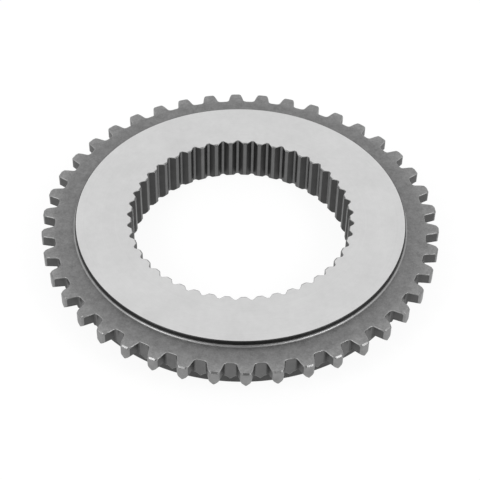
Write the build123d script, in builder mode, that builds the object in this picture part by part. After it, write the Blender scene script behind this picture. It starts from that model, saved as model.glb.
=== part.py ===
from build123d import *

import os
from dataclasses import dataclass
from math import acos, cos, degrees, radians, sin, tan

# Synchronizer ring of a heavy gearbox, machined from one steel forging.
# The hub slides on a splined shaft. The rim carries dog teeth whose undersides are pointed like
# roofs, so that they slip between the teeth of a sleeve. The land on top is ground flat.
# Millimetres and degrees. The origin is the centre of the hub's face, +Z is the axis, the land is
# on top, and a tooth and a spline space lie on +Y.

# Turned body
total_thickness = 19.0
land_height = 2.65  # from the flange's face up to the ground land
land_foot_width = 0.85  # turned cone at the foot of the land
land_foot_height = 0.6
land_edge_break = 0.2
flange_face_width = 8.25  # from the foot of the land to the roots of the teeth
flange_thickness = 10.0
hub_inset = 3.6  # from the roots of the teeth in to the hub's wall
hub_chamfer = 1.0

# External teeth
tooth_count = 42
tooth_module = 3.75
tooth_pressure_angle = 20.0
tooth_thickness = 5.1  # on the pitch circle
tooth_addendum = 1.7
tooth_dedendum = 3.65
tooth_root_rounding = 0.35  # how far the flanks stop short of the deepest line of the root
tip_chamfer_width = 0.57
tip_chamfer_depth = 0.45

# Pointed undersides
flank_height = 4.65  # from the flange's face down to the edge of the roof
roof_angle = 45.0
wedge_height = 9.05  # from the flange's face down to the point of the wedge at each root
wedge_angle = 45.0
wedge_reach = 0.3  # past the roots, out under the teeth

# Internal spline
spline_count = 45
spline_module = 2.0
spline_pressure_angle = 45.0
spline_space_width = 2.6  # on the pitch circle
spline_crest_depth = 1.0  # from the pitch circle in to the crests
spline_root_depth = 0.87  # from the pitch circle out to the roots
spline_root_rounding = 0.15
spline_lead_in = 0.4  # at the land
hub_lead_in = 0.9  # at the hub's face

# How far a cutting body runs past the faces that it goes through
overrun = 1.0


@dataclass
class InvoluteForm:
    """Involute form of a tooth, or of a spline space, which has the same shape."""

    count: int
    module: float
    pressure_angle: float
    width: float

    @property
    def pitch_radius(self):
        return self.module * self.count / 2

    @property
    def half_pitch(self):
        return 180 / self.count

    def half_angle(self, radius):
        """Half the angle that the form spans at a radius. Below the base circle it is radial."""
        base_radius = self.pitch_radius * cos(radians(self.pressure_angle))
        local_angle = acos(base_radius / max(radius, base_radius))
        spread = involute(radians(self.pressure_angle)) - involute(local_angle)
        return degrees(self.width / (2 * self.pitch_radius) + spread)

    def half_gap_angle(self, radius):
        """Half the angle between two neighbouring forms at a radius."""
        return self.half_pitch - self.half_angle(radius)


def involute(angle):
    """Involute function of an angle in radians."""
    return tan(angle) - angle


def polar(radius, angle):
    """Distances along +X and across it of a point at a radius and an angle."""
    return radius * cos(radians(angle)), radius * sin(radians(angle))


def notch(half_angle, floor_radius, corner_radius, mouth_radius):
    """Face of one notch on +X, with a rounded floor and a flank on each side out to its mouth."""
    radii = (corner_radius, (corner_radius + mouth_radius) / 2, mouth_radius)
    with BuildSketch() as face:
        with BuildLine():
            lower = ThreePointArc(*[polar(radius, -half_angle(radius)) for radius in radii])
            upper = ThreePointArc(*[polar(radius, half_angle(radius)) for radius in radii])
            ThreePointArc(lower @ 0, (floor_radius, 0), upper @ 0)
            Line(lower @ 1, upper @ 1)
        make_face()
    return face.sketch


tooth_form = InvoluteForm(tooth_count, tooth_module, tooth_pressure_angle, tooth_thickness)
root_radius = tooth_form.pitch_radius - tooth_dedendum
tip_radius = tooth_form.pitch_radius + tooth_addendum
land_radius = root_radius - flange_face_width
hub_radius = root_radius - hub_inset
first_gap = 90 + tooth_form.half_pitch

space_form = InvoluteForm(spline_count, spline_module, spline_pressure_angle, spline_space_width)
bore_radius = space_form.pitch_radius - spline_crest_depth
spline_root_radius = space_form.pitch_radius + spline_root_depth

flange_top = total_thickness - land_height
flange_bottom = flange_top - flange_thickness
roof_edge = flange_top - flank_height
wedge_point = flange_top - wedge_height


def roof_cut():
    """Takes both roof slopes beside the gap on +X, so that the edge under each flank is level."""
    root_along, root_across = polar(root_radius, tooth_form.half_gap_angle(root_radius))
    tip_along, tip_across = polar(tip_radius, tooth_form.half_gap_angle(tip_radius))
    spread = (tip_across - root_across) / (tip_along - root_along)
    rise = tan(radians(roof_angle))
    start = hub_radius - overrun
    length = tip_radius + overrun - start
    peak = roof_edge + (root_across + (start - root_along) * spread) * rise
    depth = peak - flange_bottom + overrun + length * spread * rise
    with BuildPart() as cut:
        with BuildSketch(Plane.YZ.offset(start)):
            with BuildLine():
                Polyline(
                    (0, peak),
                    (depth / rise, peak - depth),
                    (-depth / rise, peak - depth),
                    close=True,
                )
            make_face()
        extrude(amount=length, dir=(1, 0, spread * rise))
    return cut.part


def root_wedge():
    """Block with a pointed underside that carries the root on +X in to the hub."""
    half_width = polar(root_radius, tooth_form.half_pitch)[1]  # to the middles of both teeth
    rise = half_width * tan(radians(wedge_angle))
    start = hub_radius - overrun
    with BuildPart() as wedge:
        with BuildSketch(Plane.YZ.offset(start)):
            with BuildLine():
                Polyline(
                    (0, wedge_point),
                    (half_width, wedge_point + rise),
                    (half_width, flange_top),
                    (-half_width, flange_top),
                    (-half_width, wedge_point + rise),
                    close=True,
                )
            make_face()
        extrude(amount=root_radius + wedge_reach - start)
    return wedge.part


def tooth_gap():
    """Takes the gap on +X between two teeth, through the whole ring."""
    corner_radius = root_radius + tooth_root_rounding
    face = notch(tooth_form.half_gap_angle, root_radius, corner_radius, tip_radius + overrun)
    with BuildPart() as cut:
        with BuildSketch(Plane.XY.offset(-overrun)):
            add(face)
        extrude(amount=total_thickness + 2 * overrun)
    return cut.part


def spline_space():
    """Takes the spline space on +X, through the whole ring."""
    corner_radius = spline_root_radius - spline_root_rounding
    face = notch(space_form.half_angle, spline_root_radius, corner_radius, bore_radius - overrun)
    with BuildPart() as cut:
        with BuildSketch(Plane.XY.offset(-overrun)):
            add(face)
        extrude(amount=total_thickness + 2 * overrun)
    return cut.part


# Rim with the roofs of the teeth, still without its gaps
with BuildPart() as rim:
    with BuildSketch(Plane.XZ):
        with BuildLine():
            Polyline(
                (bore_radius + overrun, flange_bottom),
                (tip_radius, flange_bottom),
                (tip_radius, flange_top - tip_chamfer_depth),
                (tip_radius - tip_chamfer_width, flange_top),
                (bore_radius + overrun, flange_top),
                close=True,
            )
        make_face()
    revolve(axis=Axis.Z)
    roofs = roof_cut()
    with PolarLocations(0, tooth_count, start_angle=first_gap):
        add(roofs, mode=Mode.SUBTRACT)

# Hub and land
with BuildPart() as body:
    with BuildSketch(Plane.XZ):
        with BuildLine():
            Polyline(
                (bore_radius + hub_lead_in, 0),
                (hub_radius - hub_chamfer, 0),
                (hub_radius, hub_chamfer),
                (hub_radius, flange_top),
                (land_radius + land_foot_width, flange_top),
                (land_radius, flange_top + land_foot_height),
                (land_radius, total_thickness - land_edge_break),
                (land_radius - land_edge_break, total_thickness),
                (bore_radius + spline_lead_in, total_thickness),
                (bore_radius, total_thickness - spline_lead_in),
                (bore_radius, hub_lead_in),
                close=True,
            )
        make_face()
    revolve(axis=Axis.Z)

with BuildPart() as synchronizer_ring:
    add(rim.part)
    add(body.part)
    wedge = root_wedge()
    gap = tooth_gap()
    with PolarLocations(0, tooth_count, start_angle=first_gap):
        add(wedge)
        add(gap, mode=Mode.SUBTRACT)
    space = spline_space()
    with PolarLocations(0, spline_count, start_angle=90):
        add(space, mode=Mode.SUBTRACT)

os.makedirs("parts", exist_ok=True)
synchronizer_ring.part.label = "synchronizer_ring"
export_step(synchronizer_ring.part, "parts/synchronizer_ring.step")
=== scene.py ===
"""Synchronizer ring on a plain white stage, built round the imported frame."""

from math import acos, asin, atan2, copysign, cos, pi, radians, sin, tan

import bmesh
import bpy
from mathutils import Matrix, Vector


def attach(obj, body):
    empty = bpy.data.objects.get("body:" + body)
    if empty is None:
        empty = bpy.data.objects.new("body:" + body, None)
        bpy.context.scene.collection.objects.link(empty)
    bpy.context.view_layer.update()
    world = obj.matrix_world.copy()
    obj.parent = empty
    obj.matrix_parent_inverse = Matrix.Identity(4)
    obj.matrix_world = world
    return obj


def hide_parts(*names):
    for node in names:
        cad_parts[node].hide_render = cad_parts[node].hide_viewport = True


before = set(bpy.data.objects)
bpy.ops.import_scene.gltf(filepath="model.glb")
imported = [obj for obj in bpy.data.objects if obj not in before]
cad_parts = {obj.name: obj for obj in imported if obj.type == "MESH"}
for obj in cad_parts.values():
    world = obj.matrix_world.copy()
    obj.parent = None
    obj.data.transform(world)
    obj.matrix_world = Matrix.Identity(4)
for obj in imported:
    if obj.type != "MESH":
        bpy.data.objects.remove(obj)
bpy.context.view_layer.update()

bl_info = {
    "name": "Synchronizer ring",
    "version": (1, 0, 0),
    "blender": (4, 5, 0),
    "location": "3D View > Sidebar > Ring",
    "description": "Models a splined synchronizer ring, its steel and a plain stage",
    "category": "Mesh",
}

# The ring is modelled at one unit a millimetre, where the mesh tools' own tolerances are small,
# and shrunk to metres when its shape is done.
MM = 0.001

# The hub's face lies at height 0, and a tooth and a spline space lie on +Y.
ON_Y = pi / 2

# Facets of the turned faces round the ring, and of the fillet across it
TURNED_STEPS = 252
BORE_STEPS = 135
FILLET_STEPS = 4

# Radii and widths of the blank and the cutters that don't show on the ring, in millimetres
ROUGH_BORE = 40.0
BORE_CORE = 38.0
HUB_CORE = 62.0
UNDERSIDE_REACH = (66.0, 84.0)
WEDGE_START = 67.0
WEDGE_HALF_WIDTH = 4.0

# How far a cutter runs past the ring's faces
OVERRUN = 1.0

# How far the notch cutters run past the tips and past the crests. With these, none of their edges
# lies near a turned edge, where a Boolean would leave slivers.
GAP_OVERRUN = 0.7
SPACE_OVERRUN = 0.3

# Vertices nearer than this are merged, and most places are compared to within it.
MERGE = 0.06

# How far from a place something may lie and still count as level with it, close to it or near it
FLAT = 0.001
CLOSE = 0.3
NEAR = 0.5

# An edge across the land or the hub's face is kept within this angle of a crest's middle.
CREST_MIDDLE = radians(0.2)

# An edge is broken where its faces meet at more than SHARP, and shaded sharp past CREASE.
SHARP = radians(28)
CREASE = radians(50)

# A face's rise is 0 where it is upright and 1 where it is level.
UPRIGHT = 0.1
SLOPING = 0.3
NEAR_LEVEL = 0.7
LEVEL = 0.999

# A face's facing is 0 where it looks round the rim and 1 where it looks at the axis or away.
PARTLY_OUT = 0.4
OUT = 0.85

# Broken edges narrower than this are painted bright: a painted highlight along them, with rubbing wear.
WORN_HIGHLIGHT_WIDTH = 0.3

# Radii between which the painted shade of the land's wall on the blasted flange fades out, lighter
# towards the teeth, in metres, and its tones
WALL_SHADE_RADII = (0.072, 0.0795)
WALL_SHADE_TONES = (0.94, 1.2)

# Scale of the place along the axis, which draws the grain of a score out
SCORE_SQUASH = 0.03

# How much rougher the tops of a grain are than its hollows
GRAIN_ROUGHNESS = 0.15

# The stage, in metres. The floor lies just clear of the hub's face.
CLIP_START, CLIP_END = 0.01, 20
FLOOR_SIDE = 20
FLOOR_DROP = 0.00002
LAMP_PLACES = {"left": (-0.65, -0.5, 0.75), "right": (0.65, -0.5, 0.75)}
LAMP_SIDE = 0.4
SENSOR_MM = 36

# How many times as far out as the camera the card stands, and the tone of its cloth
CARD_PLACE = 1.2
CLOTH_TONE, CLOTH_CHANGE = 0.03, 0.02


def length(name, description, default_mm):
    """Property of a length, kept in metres."""
    return bpy.props.FloatProperty(
        name=name, description=description, default=default_mm * MM, min=0.0,
        unit="LENGTH", precision=5,
    )


def angle(name, description, default_degrees):
    """Property of an angle, kept in radians."""
    return bpy.props.FloatProperty(
        name=name, description=description, default=radians(default_degrees), subtype="ANGLE"
    )


def whole_number(name, description, default):
    """Property of a number of teeth or spaces."""
    return bpy.props.IntProperty(name=name, description=description, default=default, min=3)


def fraction(name, description, default):
    """Property of a number from 0 to 1."""
    return bpy.props.FloatProperty(
        name=name, description=description, default=default, min=0.0, max=1.0
    )


def grey(name, description, level):
    """Property of a colour that starts as a grey."""
    return bpy.props.FloatVectorProperty(
        name=name, description=description, default=(level, level, level), subtype="COLOR", size=3,
        min=0.0, max=1.0,
    )


class RingBodySizes(bpy.types.PropertyGroup):
    """Sizes of the turned body."""

    thickness: length("Thickness", "From the hub's face to the ground land", 19.0)
    land_radius: length("Land radius", "Outer radius of the ground land", 66.85)
    land_height: length("Land height", "From the flange's face up to the land", 2.65)
    land_fillet: length("Land fillet", "Radius turned at the foot of the land", 0.75)
    hub_radius: length("Hub radius", "Radius of the hub's wall", 71.5)
    hub_chamfer: length("Hub chamfer", "Chamfer round the hub's face", 1.0)
    edge_break: length("Edge break", "Width of the broken edges", 0.2)
    top_break: length("Top break", "Width of the broken edges on the land and the flange", 0.35)


class ToothSizes(bpy.types.PropertyGroup):
    """Sizes of the dog teeth and of their pointed undersides."""

    count: whole_number("Teeth", "Number of dog teeth", 42)
    module: length("Module", "Pitch diameter over the number of teeth", 3.75)
    pressure_angle: angle("Pressure angle", "Of the involute flanks", 20.0)
    width: length("Tooth thickness", "On the pitch circle", 5.1)
    addendum: length("Addendum", "From the pitch circle out to the tips", 1.7)
    dedendum: length("Dedendum", "From the pitch circle in to the roots", 3.65)
    floor_depth: length("Floor depth", "How far the flanks stop short of the deepest line", 0.35)
    chamfer_width: length("Tip chamfer width", "Along the flange's face", 0.7)
    chamfer_depth: length("Tip chamfer depth", "Down the tips", 0.55)
    chamfer_break: length("Chamfer break", "Width of the rounding along the tip chamfers", 0.12)
    tip_break: length("Tip break", "Width of the rounding at the upright corners of the tips", 0.7)
    flank_break: length("Flank break", "Width of the rounding along the lower edges of the flanks", 0.6)
    ridge_break: length("Ridge break", "Width of the rounding along the ridge under a tooth", 1.25)
    root_break: length("Root break", "Width of the rounding at the corners of the roots", 0.7)
    flank_height: length("Flank height", "From the flange's face down to the edge of the roof", 5.0)
    wedge_height: length("Wedge height", "From the flange's face down to the wedges' points", 9.05)
    wedge_reach: length("Wedge reach", "Past the roots, out under the teeth", 0.8)


class SplineSizes(bpy.types.PropertyGroup):
    """Sizes of the spline in the bore."""

    count: whole_number("Spaces", "Number of spline spaces", 45)
    module: length("Module", "Pitch diameter over the number of spaces", 2.0)
    pressure_angle: angle("Pressure angle", "Of the involute flanks", 45.0)
    width: length("Space width", "On the pitch circle", 2.6)
    crest_depth: length("Crest depth", "From the pitch circle in to the crests", 1.0)
    root_depth: length("Root depth", "From the pitch circle out to the roots", 0.87)
    floor_depth: length("Floor depth", "How far the flanks stop short of the deepest line", 0.15)
    lead_in: length("Lead-in", "Chamfer of the bore at the land", 0.4)
    hub_lead_in: length("Hub lead-in", "Chamfer of the bore at the hub's face", 0.9)


class SteelLook(bpy.types.PropertyGroup):
    """Colours and roughness of the steel's finishes, some set darker or brighter as painted shade,
    painted reflection and painted highlights.
    """

    ground: grey("Ground", "The land, after grinding", 0.63)
    blasted: grey("Blasted", "The flange and the hub's face", 0.23)
    # Painted reflection: the land's turned wall and the bore's lead-ins get a very dark grey, far
    # darker than the turned tips, to paint the dark surroundings they mirror.
    turned: grey("Turned", "The wall and outer edge of the land, and the lead-ins of the bore", 0.055)
    # Painted highlight: the fillet is turned like the land's wall, but its grey is set far brighter to
    # paint the highlight that runs round the foot of the land.
    fillet: grey("Fillet", "Bright ring at the foot of the land", 0.3)
    tips: grey("Tips", "The turned tips of the teeth", 0.25)
    chamfer: grey("Chamfers", "The turned chamfers of the tips", 0.22)
    shaped: grey("Shaped", "The roots between the teeth", 0.14)
    broached: grey("Broached", "Crests and roots of the spline", 0.15)
    # Painted shade: the tooth flanks look sideways into the gaps. Their grey is set darker than the
    # roots' to paint the shade and dark reflections between the teeth. The dark is painted shade, not
    # oil.
    flanks: grey("Flanks", "Flanks of the teeth, dark with oil", 0.095)
    # Painted shade: the spline's flanks likewise get a grey darker than its crests and roots, to paint
    # the shade and dark reflections in its spaces. The dark is painted shade, not oil.
    drive: grey("Drive flanks", "Flanks of the spline, dark with oil", 0.064)
    # Painted shade: the undersides of the teeth and the hub's wall get a dark grey to paint the shade
    # under the teeth. The skin of the forging gives only their grain.
    forged_in_shade: grey("Forged", "The undersides of the teeth and the hub's wall, left as forged", 0.08)
    # Painted highlight and wear: the grey of the broken edges is set brighter than the faces they join,
    # to paint the highlights that narrow convex edges catch.
    worn_highlight: grey("Worn edges", "Broken edges, rubbed brighter", 0.3)
    ground_roughness: fraction("Ground roughness", "Of the land", 0.36)
    cut_roughness: fraction("Cut roughness", "Of turned, shaped, broached and worn faces", 0.42)
    fine_roughness: fraction("Fine roughness", "Of the turned chamfers", 0.36)
    blasted_roughness: fraction("Blasted roughness", "Of blasted and forged faces", 0.55)


class StageLook(bpy.types.PropertyGroup):
    """Camera, lamps and floor."""

    lens: bpy.props.FloatProperty(
        name="Lens", description="Focal length on a 36 mm sensor, in mm", default=107.74
    )
    distance: length("Distance", "From the middle of the land to the camera", 581.9)
    elevation: angle("Elevation", "Of the camera above the horizon", 44.498)
    azimuth: angle("Azimuth", "Of the camera round the ring, from -Y towards +X", -2.226)
    pan: angle("Pan", "Of the camera off the middle of the land", 0.0071)
    tilt: angle("Tilt", "Of the camera off the middle of the land", -0.9639)
    roll: angle("Roll", "Of the camera round its own axis", -1.051)
    floor: grey("Floor", "Colour of the floor", 0.95)
    sky: fraction("Sky", "Strength of the light from all round", 0.9)
    shadow_share: fraction("Shadow", "How much of the ring's shadow the floor shows", 0.1)
    card: length("Card", "Side of the dark card behind the camera", 600.0)
    lamps: bpy.props.FloatProperty(
        name="Lamps", description="Power of each lamp", default=3.8, min=0.0, unit="POWER"
    )


class Involute:
    """Involute form of a tooth, or of a spline space, in millimetres and radians."""

    def __init__(self, sizes):
        self.count = sizes.count
        self.pressure_angle = sizes.pressure_angle
        self.pitch_radius = sizes.module / MM * sizes.count / 2
        self.half_pitch = pi / sizes.count
        self.width = sizes.width / MM

    def half_angle(self, radius):
        """Half the angle that the form spans at a radius."""
        base_radius = self.pitch_radius * cos(self.pressure_angle)
        local = acos(base_radius / max(radius, base_radius))
        spread = tan(self.pressure_angle) - self.pressure_angle - (tan(local) - local)
        return self.width / (2 * self.pitch_radius) + spread

    def half_gap_angle(self, radius):
        """Half the angle between two neighbouring forms at a radius."""
        return self.half_pitch - self.half_angle(radius)


# Modelling


def deselect():
    """Leaves edit mode and selects nothing."""
    if bpy.context.mode != "OBJECT":
        bpy.ops.object.mode_set(mode="OBJECT")
    bpy.ops.object.select_all(action="DESELECT")


def choose(piece):
    """Selects one piece alone."""
    deselect()
    piece.select_set(True)
    bpy.context.view_layer.objects.active = piece


def work_on(piece):
    """Selects one piece and opens its mesh."""
    choose(piece)
    bpy.ops.object.mode_set(mode="EDIT")


def pick(kind, test):
    """Selects the vertices, edges or faces of the open mesh that pass a test."""
    mesh = bpy.context.edit_object.data
    bpy.ops.mesh.select_mode(type=kind)
    bpy.ops.mesh.select_all(action="DESELECT")
    parts = bmesh.from_edit_mesh(mesh)
    for part in {"VERT": parts.verts, "EDGE": parts.edges, "FACE": parts.faces}[kind]:
        if test(part):
            part.select_set(True)
    bmesh.update_edit_mesh(mesh)


def extrude_edges(move):
    """Extrudes the selected edges of the open mesh."""
    bpy.ops.mesh.extrude_edges_move(TRANSFORM_OT_translate={"value": move})


def extrude_faces(move):
    """Extrudes the selected faces of the open mesh as one."""
    bpy.ops.mesh.extrude_region_move(TRANSFORM_OT_translate={"value": move})


def bridge_open_edges():
    """Joins the first and the last loop of the open mesh."""
    bpy.ops.mesh.select_all(action="DESELECT")
    bpy.ops.mesh.select_non_manifold()
    bpy.ops.mesh.bridge_edge_loops()


def merge_vertices(distance):
    """Merges the vertices of the open mesh that lie nearer than a distance."""
    bpy.ops.mesh.select_mode(type="VERT")
    bpy.ops.mesh.select_all(action="SELECT")
    bpy.ops.mesh.remove_doubles(threshold=distance)


def close_mesh(piece):
    """Turns all faces of the open mesh outwards, and leaves edit mode."""
    bpy.ops.mesh.select_all(action="SELECT")
    bpy.ops.mesh.normals_make_consistent(inside=False)
    bpy.ops.object.mode_set(mode="OBJECT")
    bpy.ops.object.transform_apply()
    return piece


def turned_ring(name, profile, steps):
    """Ring turned from a closed profile of radii and heights. A facet's middle lies on +Y."""
    deselect()
    radius, height = profile[0]
    bpy.ops.mesh.primitive_circle_add(
        vertices=steps,
        radius=radius,
        location=(0, 0, height),
        rotation=(0, 0, pi / steps),
        enter_editmode=True,
    )
    piece = bpy.context.object
    piece.name = name
    bpy.ops.mesh.select_mode(type="EDGE")
    for next_radius, next_height in profile[1:]:
        scale = next_radius / radius
        extrude_edges((0, 0, next_height - height))
        bpy.ops.transform.resize(value=(scale, scale, 1), center_override=(0, 0, 0))
        radius, height = next_radius, next_height
    bridge_open_edges()
    return close_mesh(piece)


def spun_copies(piece, count):
    """Copies of a piece round the axis, in its own mesh."""
    work_on(piece)
    bpy.ops.mesh.select_all(action="SELECT")
    steps = count - 1
    turn = 2 * pi / count * steps
    bpy.ops.mesh.spin(dupli=True, steps=steps, angle=turn, center=(0, 0, 0), axis=(0, 0, 1))
    bpy.ops.object.mode_set(mode="OBJECT")
    return piece


def cut(piece, cutter):
    """Takes a cutter out of a piece."""
    choose(piece)
    boolean = piece.modifiers.new("cut", "BOOLEAN")
    boolean.operation = "DIFFERENCE"
    boolean.solver = "EXACT"
    boolean.object = cutter
    bpy.ops.object.modifier_apply(modifier=boolean.name)
    bpy.data.objects.remove(cutter)


def notch_cutter(name, rows, middle, count, top):
    """Upright cutters, one a pitch. Rows give distance along the notch's axis and half its width."""
    deselect()
    foot = -OVERRUN
    along, half_width = rows[0]
    bpy.ops.mesh.primitive_plane_add(size=1, location=(along - 1 / 2, 0, foot), enter_editmode=True)
    cutter = bpy.context.object
    cutter.name = name
    # The far edge of the plane becomes the first row, and the rest of the plane goes.
    pick("VERT", lambda vertex: vertex.co.x < 0)
    bpy.ops.mesh.delete(type="VERT")
    bpy.ops.mesh.select_mode(type="EDGE")
    bpy.ops.mesh.select_all(action="SELECT")
    bpy.ops.transform.resize(value=(1, 2 * half_width, 1), center_override=(along, 0, foot))
    for next_along, next_half_width in rows[1:]:
        scale = next_half_width / half_width
        extrude_edges((next_along - along, 0, 0))
        bpy.ops.transform.resize(value=(1, scale, 1), center_override=(0, 0, 0))
        along, half_width = next_along, next_half_width
    bpy.ops.mesh.select_all(action="SELECT")
    extrude_faces((0, 0, top + OVERRUN - foot))
    bpy.ops.mesh.select_all(action="SELECT")
    bpy.ops.transform.rotate(value=-middle, orient_axis="Z", center_override=(0, 0, 0))
    close_mesh(cutter)
    return spun_copies(cutter, count)


def notch_rows(half_angle, radii, floor_steps, flank_steps):
    """Rows of a notch: an arc across its floor, then involute flanks from its corners to its mouth."""
    floor_radius, corner_radius, mouth_radius = radii
    corner = half_angle(corner_radius)
    across = corner_radius * sin(corner)
    sag = corner_radius * cos(corner) - floor_radius
    arc_radius = (across**2 + sag**2) / (2 * abs(sag))
    sweep = asin(across / arc_radius)
    rows = []
    for step in range(floor_steps):
        turn = sweep * (step + 0.5) / floor_steps
        bow = copysign(arc_radius * (1 - cos(turn)), sag)
        rows.append((floor_radius + bow, arc_radius * sin(turn)))
    for step in range(flank_steps + 1):
        radius = corner_radius + (mouth_radius - corner_radius) * step / flank_steps
        half = half_angle(radius)
        rows.append((radius * cos(half), radius * sin(half)))
    return rows


def rounded_rows(rows, corner, width):
    """Rows with the bend at one of them rounded, from a width before it to a width beyond it."""
    bend = Vector(rows[corner])
    start = bend + width * (Vector(rows[corner - 1]) - bend).normalized()
    end = bend + width * (Vector(rows[corner + 1]) - bend).normalized()
    curve = []
    for share in (0, 1 / 3, 2 / 3, 1):
        rest = 1 - share
        curve.append(tuple(rest**2 * start + 2 * share * rest * bend + share**2 * end))
    return [*rows[:corner], *curve, *rows[corner + 1 :]]


# The ring


class RingShape:
    """Radii and heights of the ring, in millimetres."""

    def __init__(self, scene):
        body, tooth, spline = scene.ring_body, scene.ring_teeth, scene.ring_spline
        self.body, self.tooth, self.spline = body, tooth, spline
        self.tooth_form = Involute(tooth)
        self.space_form = Involute(spline)
        self.top = body.thickness / MM
        self.land = body.land_radius / MM
        self.hub = body.hub_radius / MM
        self.flange = self.top - body.land_height / MM
        self.root = self.tooth_form.pitch_radius - tooth.dedendum / MM
        self.root_corner = self.root + tooth.floor_depth / MM
        self.tip = self.tooth_form.pitch_radius + tooth.addendum / MM
        self.chamfered = self.tip - tooth.chamfer_width / MM
        self.roof_edge = self.flange - tooth.flank_height / MM
        self.wedge_point = self.flange - tooth.wedge_height / MM
        self.wedge_end = self.root + tooth.wedge_reach / MM
        self.bore = self.space_form.pitch_radius - spline.crest_depth / MM
        self.space_floor = self.space_form.pitch_radius + spline.root_depth / MM
        self.space_corner = self.space_floor - spline.floor_depth / MM
        self.first_gap = ON_Y + self.tooth_form.half_pitch

    def roof_height(self, radius, on_gap):
        """Height of the roofs at a radius, above a gap's axis or along a tooth's ridge."""
        form = self.tooth_form
        root, tip = form.half_gap_angle(self.root), form.half_gap_angle(self.tip)
        root_along, root_across = self.root * cos(root), self.root * sin(root)
        spread = (self.tip * sin(tip) - root_across) / (self.tip * cos(tip) - root_along)
        turn = 0.0 if on_gap else form.half_pitch
        half_gap = root_across + (radius * cos(turn) - root_along) * spread
        return self.roof_edge + half_gap - radius * sin(turn)


def turned_blank(shape):
    """Thick ring with the turned flange and land. Its hub and bore are cut later."""
    radius = shape.body.land_fillet / MM
    fillet = []
    for step in range(FILLET_STEPS + 1):
        turn = pi / 2 * step / FILLET_STEPS
        across, up = radius * (1 - sin(turn)), radius * (1 - cos(turn))
        fillet.append((shape.land + across, shape.flange + up))
    return turned_ring(
        "ring",
        [
            (ROUGH_BORE, 0),
            (shape.tip, 0),
            (shape.tip, shape.flange - shape.tooth.chamfer_depth / MM),
            (shape.chamfered, shape.flange),
            *fillet,
            (shape.land, shape.top),
            (ROUGH_BORE, shape.top),
        ],
        TURNED_STEPS,
    )


def wedge_cutter(shape):
    """Pointed blocks under the roots, to be kept out of the cut below the roofs."""
    shoulder = shape.wedge_point + WEDGE_HALF_WIDTH
    deselect()
    bpy.ops.mesh.primitive_cube_add(
        size=1,
        location=((WEDGE_START + shape.wedge_end) / 2, 0, (shoulder + shape.top) / 2),
        scale=(shape.wedge_end - WEDGE_START, 2 * WEDGE_HALF_WIDTH, shape.top - shoulder),
    )
    wedges = bpy.context.object
    bpy.ops.object.transform_apply()
    bpy.ops.object.mode_set(mode="EDIT")
    pick("FACE", lambda face: face.normal.z < -LEVEL)
    extrude_faces((0, 0, -WEDGE_HALF_WIDTH))
    bpy.ops.transform.resize(value=(1, 0, 1), center_override=(0, 0, 0))
    merge_vertices(MERGE)
    bpy.ops.transform.rotate(value=-shape.first_gap, orient_axis="Z", center_override=(0, 0, 0))
    close_mesh(wedges)
    return spun_copies(wedges, shape.tooth.count)


def underside_cutter(shape):
    """Takes what lies below the roofs and wedges, out from the hub's wall."""
    inner, outer = UNDERSIDE_REACH
    count = 2 * shape.tooth.count
    # A low ring first, with one meridian for each gap and each tooth
    deselect()
    bpy.ops.mesh.primitive_circle_add(
        vertices=count, radius=inner, location=(0, 0, -OVERRUN), enter_editmode=True
    )
    cutter = bpy.context.object
    bpy.ops.mesh.select_mode(type="EDGE")
    extrude_edges((0, 0, 2 * OVERRUN))
    extrude_edges((0, 0, 0))
    bpy.ops.transform.resize(value=(outer / inner, outer / inner, 1), center_override=(0, 0, 0))
    extrude_edges((0, 0, -2 * OVERRUN))
    bridge_open_edges()
    # Its top then goes up to the roofs
    for radius in (inner, outer):
        for on_gap in (True, False):
            place = on_meridian(radius, count, on_gap)
            pick("VERT", lambda vertex: place(vertex) and vertex.co.z > 0)
            rise = shape.roof_height(radius, on_gap) - OVERRUN
            bpy.ops.transform.translate(value=(0, 0, rise))
    close_mesh(cutter)
    cut(cutter, wedge_cutter(shape))
    cut(cutter, hub_core(shape))
    return cutter


def hub_core(shape):
    """The hub with its chamfer, to be kept out of the same cut."""
    chamfer = shape.body.hub_chamfer / MM
    foot = -2 * OVERRUN
    return turned_ring(
        "hub",
        [
            (HUB_CORE, foot),
            (shape.hub - chamfer + foot, foot),
            (shape.hub, chamfer),
            (shape.hub, shape.top),
            (HUB_CORE, shape.top),
        ],
        TURNED_STEPS,
    )


def on_meridian(radius, count, odd):
    """Test for a vertex at a radius, on the odd or the even ones of count meridians from +Y."""

    def test(vertex):
        turn = (atan2(vertex.co.y, vertex.co.x) - ON_Y) * count / (2 * pi)
        return abs(vertex.co.xy.length - radius) < MERGE and round(turn) % 2 == int(odd)

    return test


def bore_cutter(shape):
    """Bores the ring to the crests of the spline, with a lead-in at each end."""
    lead_in, hub_lead_in = shape.spline.lead_in / MM, shape.spline.hub_lead_in / MM
    return turned_ring(
        "bore",
        [
            (BORE_CORE, -OVERRUN),
            (shape.bore + hub_lead_in + OVERRUN, -OVERRUN),
            (shape.bore, hub_lead_in),
            (shape.bore, shape.top - lead_in),
            (shape.bore + lead_in + OVERRUN, shape.top + OVERRUN),
            (BORE_CORE, shape.top + OVERRUN),
        ],
        BORE_STEPS,
    )


def gap_cutter(shape):
    """Cuts the gaps between the dog teeth, with the corners of their roots rounded."""
    form = shape.tooth_form
    radii = (shape.root, shape.root_corner, shape.tip + GAP_OVERRUN)
    rows = notch_rows(form.half_gap_angle, radii, floor_steps=1, flank_steps=2)
    rows = rounded_rows(rows, 1, shape.tooth.root_break / MM)
    return notch_cutter("gaps", rows, shape.first_gap, form.count, shape.top)


def space_cutter(shape):
    """Cuts the spaces of the spline."""
    form = shape.space_form
    radii = (shape.space_floor, shape.space_corner, shape.bore - SPACE_OVERRUN)
    rows = notch_rows(form.half_angle, radii, floor_steps=2, flank_steps=1)
    return notch_cutter("spaces", rows, ON_Y, form.count, shape.top)


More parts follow.
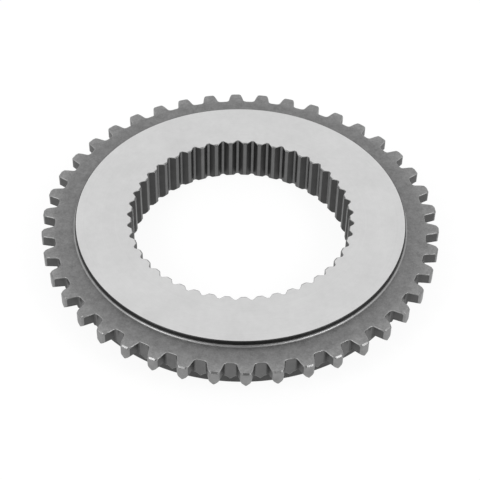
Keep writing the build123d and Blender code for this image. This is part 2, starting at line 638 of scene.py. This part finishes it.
def break_edges(ring, shape):
    """Rounds every edge, and some more than others."""
    widest = shape.tooth.ridge_break / MM
    widths = (
        (is_top_edge, shape.body.top_break / MM),
        (is_chamfer_edge, shape.tooth.chamfer_break / MM),
        (is_tip_corner, shape.tooth.tip_break / MM),
        (is_lower_edge, shape.tooth.flank_break / MM),
        (is_ridge, widest),
        (is_wedge_end, 0.0),
    )
    work_on(ring)
    merge_vertices(MERGE)
    pick("EDGE", lambda edge: is_spare(edge, shape))
    bpy.ops.mesh.dissolve_edges(use_verts=True)
    bpy.ops.mesh.select_all(action="DESELECT")
    bpy.ops.mesh.edges_select_sharp(sharpness=SHARP)
    bpy.ops.transform.edge_bevelweight(value=shape.body.edge_break / MM / widest)
    for test, width in widths:
        pick("EDGE", lambda edge: edge.calc_face_angle(0) > SHARP and test(edge, shape))
        # The operator adds to the weights, so they go up to 1 and down from there.
        bpy.ops.transform.edge_bevelweight(value=1)
        bpy.ops.transform.edge_bevelweight(value=width / widest - 1)
    bpy.ops.object.mode_set(mode="OBJECT")
    bevel = ring.modifiers.new("edges", "BEVEL")
    bevel.limit_method = "WEIGHT"
    bevel.width = widest
    bevel.segments = 2
    bevel.use_clamp_overlap = False
    bevel.loop_slide = False
    # The faces of the broken edges start with the material of the painted highlight and wear.
    bevel.material = ring.data.materials.find("worn_highlight")
    bpy.ops.object.modifier_apply(modifier=bevel.name)
    work_on(ring)
    merge_vertices(MERGE / 2)
    for height in (0.0, shape.flange, shape.top):
        refill_flat(height)
    close_mesh(ring)


def is_spare(edge, shape):
    """Whether an edge crosses the land or the hub's face away from the middle of a crest."""
    if not all(is_level(face, 0.0) or is_level(face, shape.top) for face in edge.link_faces):
        return False
    middle = (edge.verts[0].co + edge.verts[1].co) / 2
    half_pitch = shape.space_form.half_pitch
    turn = (atan2(middle.y, middle.x) - ON_Y) % (2 * half_pitch)
    return abs(turn - half_pitch) > CREST_MIDDLE


def is_top_edge(edge, shape):
    """Whether an edge bounds the flange's face, or the land on its outside."""
    first, second = edge.verts
    outside = min(first.co.xy.length, second.co.xy.length) > shape.land - MERGE
    return outside and first.co.z > shape.flange - MERGE and abs(first.co.z - second.co.z) < MERGE


def is_chamfer_edge(edge, shape):
    """Whether an edge runs along the chamfer of a tip."""
    heights = [corner.co.z for corner in edge.verts]
    outside = min(corner.co.xy.length for corner in edge.verts) > shape.chamfered - MERGE
    high = min(heights) > shape.roof_edge + NEAR
    return outside and high and abs(heights[0] - heights[1]) < MERGE


def is_tip_corner(edge, shape):
    """Whether an edge is an upright corner of a tip, or a corner of its chamfer."""
    radii = [corner.co.xy.length for corner in edge.verts]
    heights = [corner.co.z for corner in edge.verts]
    if min(radii) < shape.chamfered - MERGE or abs(heights[0] - heights[1]) < MERGE:
        return False
    across = [from_tooth(corner, shape) for corner in edge.verts]
    return abs(across[0] - across[1]) < NEAR


def is_lower_edge(edge, shape):
    """Whether an edge is the lower edge of a flank."""
    radii = [corner.co.xy.length for corner in edge.verts]
    low = all(abs(corner.co.z - shape.roof_edge) < CLOSE for corner in edge.verts)
    return low and min(radii) > shape.root and abs(radii[0] - radii[1]) > MERGE


def is_ridge(edge, shape):
    """Whether an edge is the ridge under a tooth."""
    radii = [corner.co.xy.length for corner in edge.verts]
    middle = max(from_tooth(corner, shape) for corner in edge.verts) < MERGE
    low = max(corner.co.z for corner in edge.verts) < shape.roof_edge - NEAR
    return middle and low and abs(radii[0] - radii[1]) > MERGE


def is_wedge_end(edge, shape):
    """Whether an edge bounds the outer end of a wedge, which stays sharp."""
    return all(abs(along_gap(corner, shape) - shape.wedge_end) < MERGE for corner in edge.verts)


def from_tooth(corner, shape):
    """Distance of a vertex round the ring from the middle of the nearest tooth."""
    pitch = 2 * shape.tooth_form.half_pitch
    turn = (atan2(corner.co.y, corner.co.x) - ON_Y) % pitch
    return min(turn, pitch - turn) * corner.co.xy.length


def along_gap(corner, shape):
    """Distance of a vertex from the axis, along the middle of the nearest gap."""
    radius = corner.co.xy.length
    return radius * cos(shape.tooth_form.half_pitch - from_tooth(corner, shape) / radius)


def refill_flat(height):
    """Fills a level face of the open mesh anew, so that its triangles run clear of the broken edges."""
    pick("FACE", lambda face: is_level(face, height))
    bpy.ops.mesh.delete(type="FACE")
    bpy.ops.mesh.select_mode(type="EDGE")
    bpy.ops.mesh.select_all(action="DESELECT")
    bpy.ops.mesh.select_non_manifold()
    bpy.ops.mesh.fill(use_beauty=True)


def is_level(face, height):
    """Whether a face lies level at a height."""
    if abs(face.normal.z) < LEVEL:
        return False
    return all(abs(corner.co.z - height) < FLAT for corner in face.verts)


def is_worn_highlight(face):
    """Whether a broken edge is narrow and stands out, so that it gets the painted highlight and rubbing
    wear.
    """
    width = face.calc_area() / max(edge.calc_length() for edge in face.edges)
    turn = sum(edge.calc_face_angle_signed(0) for edge in face.edges)
    return width < WORN_HIGHLIGHT_WIDTH and turn > 0


def finish_of(face, shape, worn_highlight):
    """Name of the finish that a face of the ring gets from its place and the way it faces. Some
    finishes carry painted shade, painted reflection and painted highlights.
    """
    middle, rise = face.calc_center_median(), abs(face.normal.z)
    radius, height = middle.xy.length, middle.z
    facing = abs(face.normal.xy.dot(middle.xy)) / radius
    broken = face.material_index == worn_highlight
    in_bore = radius < shape.space_floor + MERGE
    on_tip = radius > shape.chamfered and facing > PARTLY_OUT
    on_floor = radius < shape.root_corner + CLOSE
    on_top = height > shape.flange - NEAR
    in_sight = on_floor or height > shape.roof_edge + NEAR
    spared = (on_tip and rise < NEAR_LEVEL) or (in_bore and rise < SLOPING)
    if is_level(face, shape.top):
        return "ground"
    if is_level(face, shape.flange) or is_level(face, 0.0):
        return "blasted"
    # Out at the land: the fillet gets the bright grey of its painted highlight, and the wall above it
    # gets the very dark grey of its painted reflection.
    if height > shape.flange and radius > shape.land - NEAR:
        low = height < shape.flange + shape.body.land_fillet / MM
        return "fillet" if low and rise > UPRIGHT else "turned"
    if on_tip and rise > SLOPING and height > shape.roof_edge:
        return "chamfer"
    if broken and on_top and on_floor and radius > shape.root - NEAR and rise < NEAR_LEVEL:
        return "shaped"
    # Narrow convex broken edges in sight get the brighter grey of the painted highlight, with rubbing
    # wear.
    if broken and in_sight and not spared and is_worn_highlight(face):
        return "worn_highlight"
    # The bore's lead-ins get the very dark grey of the painted reflection.
    if in_bore and rise > SLOPING:
        return "turned"
    if in_bore:
        # In the bore, the flanks and the broken edges between them get the darker grey of painted
        # shade.
        return "broached" if facing > OUT and not broken else "drive"
    if on_tip:
        return "tips"
    # Of the faces between the teeth, those that look sideways, the flanks, get the darker grey of
    # painted shade.
    if radius > shape.root - MERGE and rise < UPRIGHT and (on_floor or facing < OUT):
        return "shaped" if facing > OUT else "flanks"
    # Below the flange, the undersides of the teeth and the hub's wall get the dark grey of painted
    # shade.
    return "blasted" if on_top or height < shape.body.hub_chamfer / MM else "forged_in_shade"


def give_finishes(ring, shape):
    """Gives every face of the ring the material of its finish."""
    work_on(ring)
    worn_highlight = ring.data.materials.find("worn_highlight")
    parts = bmesh.from_edit_mesh(ring.data)
    finishes = {face.index: finish_of(face, shape, worn_highlight) for face in parts.faces}
    for name in FINISHES:
        pick("FACE", lambda face: finishes[face.index] == name)
        ring.active_material_index = ring.data.materials.find(name)
        bpy.ops.object.material_slot_assign()
    bpy.ops.object.mode_set(mode="OBJECT")


class RING_OT_ring(bpy.types.Operator):
    """Model the synchronizer ring and give it its steel"""

    bl_idname = "ring.ring"
    bl_label = "Synchronizer ring"

    def execute(self, context):
        shape = RingShape(context.scene)
        ring = turned_blank(shape)
        for cutter in (underside_cutter, bore_cutter, gap_cutter, space_cutter):
            cut(ring, cutter(shape))
        for name, finish in FINISHES.items():
            ring.data.materials.append(steel(name, context.scene.ring_steel, *finish))
        break_edges(ring, shape)
        give_finishes(ring, shape)
        work_on(ring)
        bpy.ops.mesh.select_all(action="SELECT")
        bpy.ops.transform.resize(value=(MM, MM, MM), center_override=(0, 0, 0))
        bpy.ops.object.mode_set(mode="OBJECT")
        bpy.ops.object.shade_smooth_by_angle(angle=CREASE)
        weighted = ring.modifiers.new("normals", "WEIGHTED_NORMAL")
        weighted.keep_sharp = True
        weighted.weight = 100
        bpy.ops.object.modifier_apply(modifier=weighted.name)
        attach(ring, "root")
        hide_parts("synchronizer_ring")
        return {"FINISHED"}


# Shaders


class Value:
    """A socket of a node, worked with in plain expressions that add its Math nodes."""

    def __init__(self, graph, socket):
        self.graph, self.socket = graph, socket

    def __add__(self, other):
        return self.graph.maths("ADD", self, other)

    def __radd__(self, other):
        return self.graph.maths("ADD", other, self)

    def __sub__(self, other):
        return self.graph.maths("SUBTRACT", self, other)

    def __rsub__(self, other):
        return self.graph.maths("SUBTRACT", other, self)

    def __mul__(self, other):
        return self.graph.maths("MULTIPLY", self, other)

    def __rmul__(self, other):
        return self.graph.maths("MULTIPLY", other, self)


class Graph:
    """Nodes of a material or of the world."""

    def __init__(self, owner):
        owner.use_nodes = True
        self.tree = owner.node_tree
        self.tree.nodes.clear()

    def node(self, kind, settings, sockets, output=0):
        """Adds a node: its settings first, then the values or links of its sockets."""
        node = self.tree.nodes.new("ShaderNode" + kind)
        for name, setting in settings.items():
            setattr(node, name, setting)
        for name, value in sockets.items():
            if isinstance(value, Value):
                self.tree.links.new(value.socket, node.inputs[name])
            else:
                node.inputs[name].default_value = value
        return Value(self, node.outputs[output] if node.outputs else None)

    def maths(self, operation, first, second):
        """Sum, difference or product of two numbers or values."""
        return self.node("Math", {"operation": operation}, {0: first, 1: second})

    def place(self):
        """Place on the object."""
        return self.node("TexCoord", {}, {}, "Object")

    def along(self, place, axis):
        """Distance along one axis."""
        return self.node("SeparateXYZ", {}, {"Vector": place}, axis)

    def radius(self, place):
        """Distance from the ring's axis."""
        flat = self.scaled(place, (1, 1, 0))
        return self.node("VectorMath", {"operation": "LENGTH"}, {0: flat}, "Value")

    def scaled(self, place, scale):
        """Place with each axis scaled by a number of its own."""
        return self.node("VectorMath", {"operation": "MULTIPLY"}, {0: place, 1: scale})

    def noise(self, place, grain_mm):
        """Noise round 0, with a grain of a size in millimetres."""
        scale = 1 / (grain_mm * MM)
        return self.node("TexNoise", {}, {"Vector": place, "Scale": scale}) - 0.5

    def lines(self, across, spacing_mm):
        """Fine lines across a distance, round 0."""
        scale = 1 / (spacing_mm * MM)
        return self.node("TexNoise", {"noise_dimensions": "1D"}, {"W": across, "Scale": scale}) - 0.5

    def ramp(self, value, ends, tones):
        """The first tone before both ends, the second after them and a smooth change between."""
        sockets = {"Value": value, "From Min": ends[0], "From Max": ends[1]}
        sockets.update({"To Min": tones[0], "To Max": tones[1]})
        return self.node("MapRange", {"interpolation_type": "SMOOTHSTEP"}, sockets)


# Grains, each of which gives a tone round 1 and the height of its relief


def ground_grain(graph, place):
    """Faint rings left by the wheel, and clouds."""
    rings = graph.lines(graph.radius(place), spacing_mm=0.7)
    clouds, spots = graph.noise(place, grain_mm=12), graph.noise(place, grain_mm=2)
    return 1 + 0.06 * rings + 0.14 * clouds + 0.1 * spots, rings


def blasted_grain(graph, place):
    """Fine pits and clouds. The flange is darker near the land's wall, as painted shade of that wall,
    and lighter towards the teeth.
    """
    pits = graph.noise(place, grain_mm=0.6)
    clouds, spots = graph.noise(place, grain_mm=4), graph.noise(place, grain_mm=1.5)
    mottle = 0.5 * clouds + 0.4 * spots
    # Painted shade of the land's wall, fading out towards the teeth
    wall_shade = graph.ramp(graph.radius(place), WALL_SHADE_RADII, WALL_SHADE_TONES)
    return wall_shade * (1 + 0.6 * pits + mottle), pits


def turned_grain(graph, place):
    """Rings of the tool round a wall, and spots."""
    rings = graph.lines(graph.along(place, "Z"), spacing_mm=0.3)
    spots = graph.noise(place, grain_mm=3)
    return 1 + 0.3 * rings + 0.5 * spots, rings


def drawn_grain(graph, place):
    """Scores that run along the axis, as a broach or a shaper leaves them, and spots."""
    scores = graph.noise(graph.scaled(place, (1, 1, SCORE_SQUASH)), grain_mm=0.3)
    spots = graph.noise(place, grain_mm=3)
    return 1 + 0.3 * scores + 0.3 * spots, scores


def forged_grain(graph, place):
    """Uneven skin of the forging, and clouds."""
    skin, clouds = graph.noise(place, grain_mm=1.5), graph.noise(place, grain_mm=6)
    return 1 + 0.5 * skin + 0.4 * clouds, skin


def worn_grain(graph, place):
    """Rubbed patches along the edges."""
    patches = graph.noise(place, grain_mm=2)
    return 1 + 0.6 * patches, patches


# Each finish: its roughness, its grain and the height of that grain in millimetres
FINISHES = {
    "ground": ("ground_roughness", ground_grain, 0.002),
    "blasted": ("blasted_roughness", blasted_grain, 0.03),
    "turned": ("cut_roughness", turned_grain, 0.006),
    "fillet": ("cut_roughness", turned_grain, 0.006),
    "tips": ("cut_roughness", turned_grain, 0.01),
    "chamfer": ("fine_roughness", turned_grain, 0.006),
    "shaped": ("cut_roughness", drawn_grain, 0.01),
    "broached": ("cut_roughness", drawn_grain, 0.006),
    "flanks": ("cut_roughness", drawn_grain, 0.006),
    "drive": ("cut_roughness", drawn_grain, 0.006),
    "forged_in_shade": ("blasted_roughness", forged_grain, 0.04),
    "worn_highlight": ("cut_roughness", worn_grain, 0.004),
}


def steel(name, look, roughness, grain, height_mm):
    """Steel with one finish."""
    material = bpy.data.materials.new(name)
    graph = Graph(material)
    tone, relief = grain(graph, graph.place())
    tinted = {"Vector": getattr(look, name), "Scale": tone}
    sockets = {
        "Base Color": graph.node("VectorMath", {"operation": "SCALE"}, tinted),
        "Metallic": 1.0,
        "Roughness": getattr(look, roughness) + GRAIN_ROUGHNESS * relief,
        "Normal": graph.node("Bump", {}, {"Height": relief, "Distance": height_mm * MM}),
    }
    shader = graph.node("BsdfPrincipled", {}, sockets)
    graph.node("OutputMaterial", {}, {"Surface": shader})
    return material


# Stage


class RING_OT_stage(bpy.types.Operator):
    """Set the floor, the lamps and the camera round the ring"""

    bl_idname = "ring.stage"
    bl_label = "Stage"

    def execute(self, context):
        stage = context.scene.ring_stage
        context.scene.view_settings.view_transform = "Standard"
        aim_camera(context.scene, stage)
        make_floor(stage)
        light_world(context.scene, stage)
        make_card(context.scene.camera, stage)
        for name, place in LAMP_PLACES.items():
            add_lamp(name, place, stage.lamps)
        return {"FINISHED"}


def aim_camera(scene, stage):
    """Camera on the middle of the land, then panned, tilted and rolled about its own place."""
    camera = bpy.data.objects.new("camera", bpy.data.cameras.new("camera"))
    scene.collection.objects.link(camera)
    scene.camera = camera
    camera.data.lens = stage.lens
    camera.data.sensor_width = SENSOR_MM
    camera.data.clip_start, camera.data.clip_end = CLIP_START, CLIP_END
    back = Vector((0, -cos(stage.elevation), sin(stage.elevation)))
    forward, right = -back, Vector((1, 0, 0))
    up = right.cross(forward)
    turn = Matrix.Rotation(stage.pan, 3, up)
    forward, right = turn @ forward, turn @ right
    turn = Matrix.Rotation(stage.tilt, 3, right)
    forward, up = turn @ forward, turn @ up
    turn = Matrix.Rotation(stage.roll, 3, forward)
    right, up = turn @ right, turn @ up
    axes = Matrix((right, up, -forward)).transposed()
    place = Matrix.Translation(back * stage.distance) @ axes.to_4x4()
    top = Matrix.Translation((0, 0, scene.ring_body.thickness))
    camera.matrix_world = top @ Matrix.Rotation(stage.azimuth, 4, "Z") @ place


def seen_rays(graph):
    """1 for the rays of the camera, of reflections and of glass, and 0 for others."""
    camera = graph.node("LightPath", {}, {}, "Is Camera Ray")
    mirrored = graph.node("LightPath", {}, {}, "Is Glossy Ray")
    through = graph.node("LightPath", {}, {}, "Is Transmission Ray")
    return camera + mirrored + through


def make_floor(stage):
    """Floor that is seen as white, and shows a share of the ring's shadow."""
    deselect()
    bpy.ops.mesh.primitive_plane_add(size=FLOOR_SIDE, location=(0, 0, -FLOOR_DROP))
    floor = bpy.context.object
    floor.name = "floor"
    bpy.ops.object.transform_apply()
    material = bpy.data.materials.new("floor")
    graph = Graph(material)
    shaded = graph.node("BsdfDiffuse", {}, {"Color": (*stage.floor, 1)})
    white = graph.node("Emission", {}, {})
    share = (1 - stage.shadow_share) * seen_rays(graph)
    surface = graph.node("MixShader", {}, {0: share, 1: shaded, 2: white})
    graph.node("OutputMaterial", {}, {"Surface": surface})
    floor.data.materials.append(material)


def make_card(camera, stage):
    """Dark card behind the camera. Faces that look straight at the camera mirror it."""
    deselect()
    bpy.ops.mesh.primitive_plane_add(size=stage.card, rotation=camera.matrix_world.to_euler())
    card = bpy.context.object
    card.name = "card"
    card.location = camera.matrix_world.translation * CARD_PLACE
    bpy.ops.object.transform_apply()
    material = bpy.data.materials.new("card")
    graph = Graph(material)
    cloth = CLOTH_TONE + CLOTH_CHANGE * graph.noise(graph.place(), 10)
    shader = graph.node("BsdfDiffuse", {}, {"Color": cloth})
    graph.node("OutputMaterial", {}, {"Surface": shader})
    card.data.materials.append(material)
    card.visible_camera = card.visible_diffuse = card.visible_shadow = False


def light_world(scene, stage):
    """White light from all round, which the camera and the reflections see at full strength."""
    scene.world = bpy.data.worlds.new("world")
    graph = Graph(scene.world)
    strength = stage.sky + (1 - stage.sky) * seen_rays(graph)
    white = graph.node("Background", {}, {"Color": (1, 1, 1, 1), "Strength": strength})
    graph.node("OutputWorld", {}, {"Surface": white})


def add_lamp(name, place, power):
    """Square lamp that looks at the middle of the ring."""
    lamp = bpy.data.lights.new(name, "AREA")
    lamp.energy = power
    lamp.size = LAMP_SIDE
    holder = bpy.data.objects.new(name, lamp)
    bpy.context.scene.collection.objects.link(holder)
    holder.location = place
    holder.rotation_mode = "QUATERNION"
    holder.rotation_quaternion = Vector(place).to_track_quat("Z", "Y")


class RING_PT_panel(bpy.types.Panel):
    """Operators and settings of the ring, in the sidebar"""

    bl_label = "Synchronizer ring"
    bl_idname = "RING_PT_panel"
    bl_space_type = "VIEW_3D"
    bl_region_type = "UI"
    bl_category = "Ring"

    def draw(self, context):
        for operator in OPERATORS:
            self.layout.operator(operator.bl_idname)
        for group in GROUPS:
            settings = getattr(context.scene, group)
            box = self.layout.box()
            for name in settings.bl_rna.properties.keys():
                if name not in ("rna_type", "name"):
                    box.prop(settings, name)


GROUPS = {
    "ring_body": RingBodySizes,
    "ring_teeth": ToothSizes,
    "ring_spline": SplineSizes,
    "ring_steel": SteelLook,
    "ring_stage": StageLook,
}
OPERATORS = (RING_OT_ring, RING_OT_stage)


def register():
    """Adds the settings, the operators and the panel."""
    for group, kind in GROUPS.items():
        bpy.utils.register_class(kind)
        setattr(bpy.types.Scene, group, bpy.props.PointerProperty(type=kind))
    for kind in (*OPERATORS, RING_PT_panel):
        bpy.utils.register_class(kind)


def unregister():
    """Takes the panel, the operators and the settings out again."""
    for kind in (RING_PT_panel, *reversed(OPERATORS)):
        bpy.utils.unregister_class(kind)
    for group, kind in GROUPS.items():
        delattr(bpy.types.Scene, group)
        bpy.utils.unregister_class(kind)


def main():
    """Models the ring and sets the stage."""
    register()
    bpy.ops.ring.ring()
    bpy.ops.ring.stage()


if __name__ == "__main__":
    main()
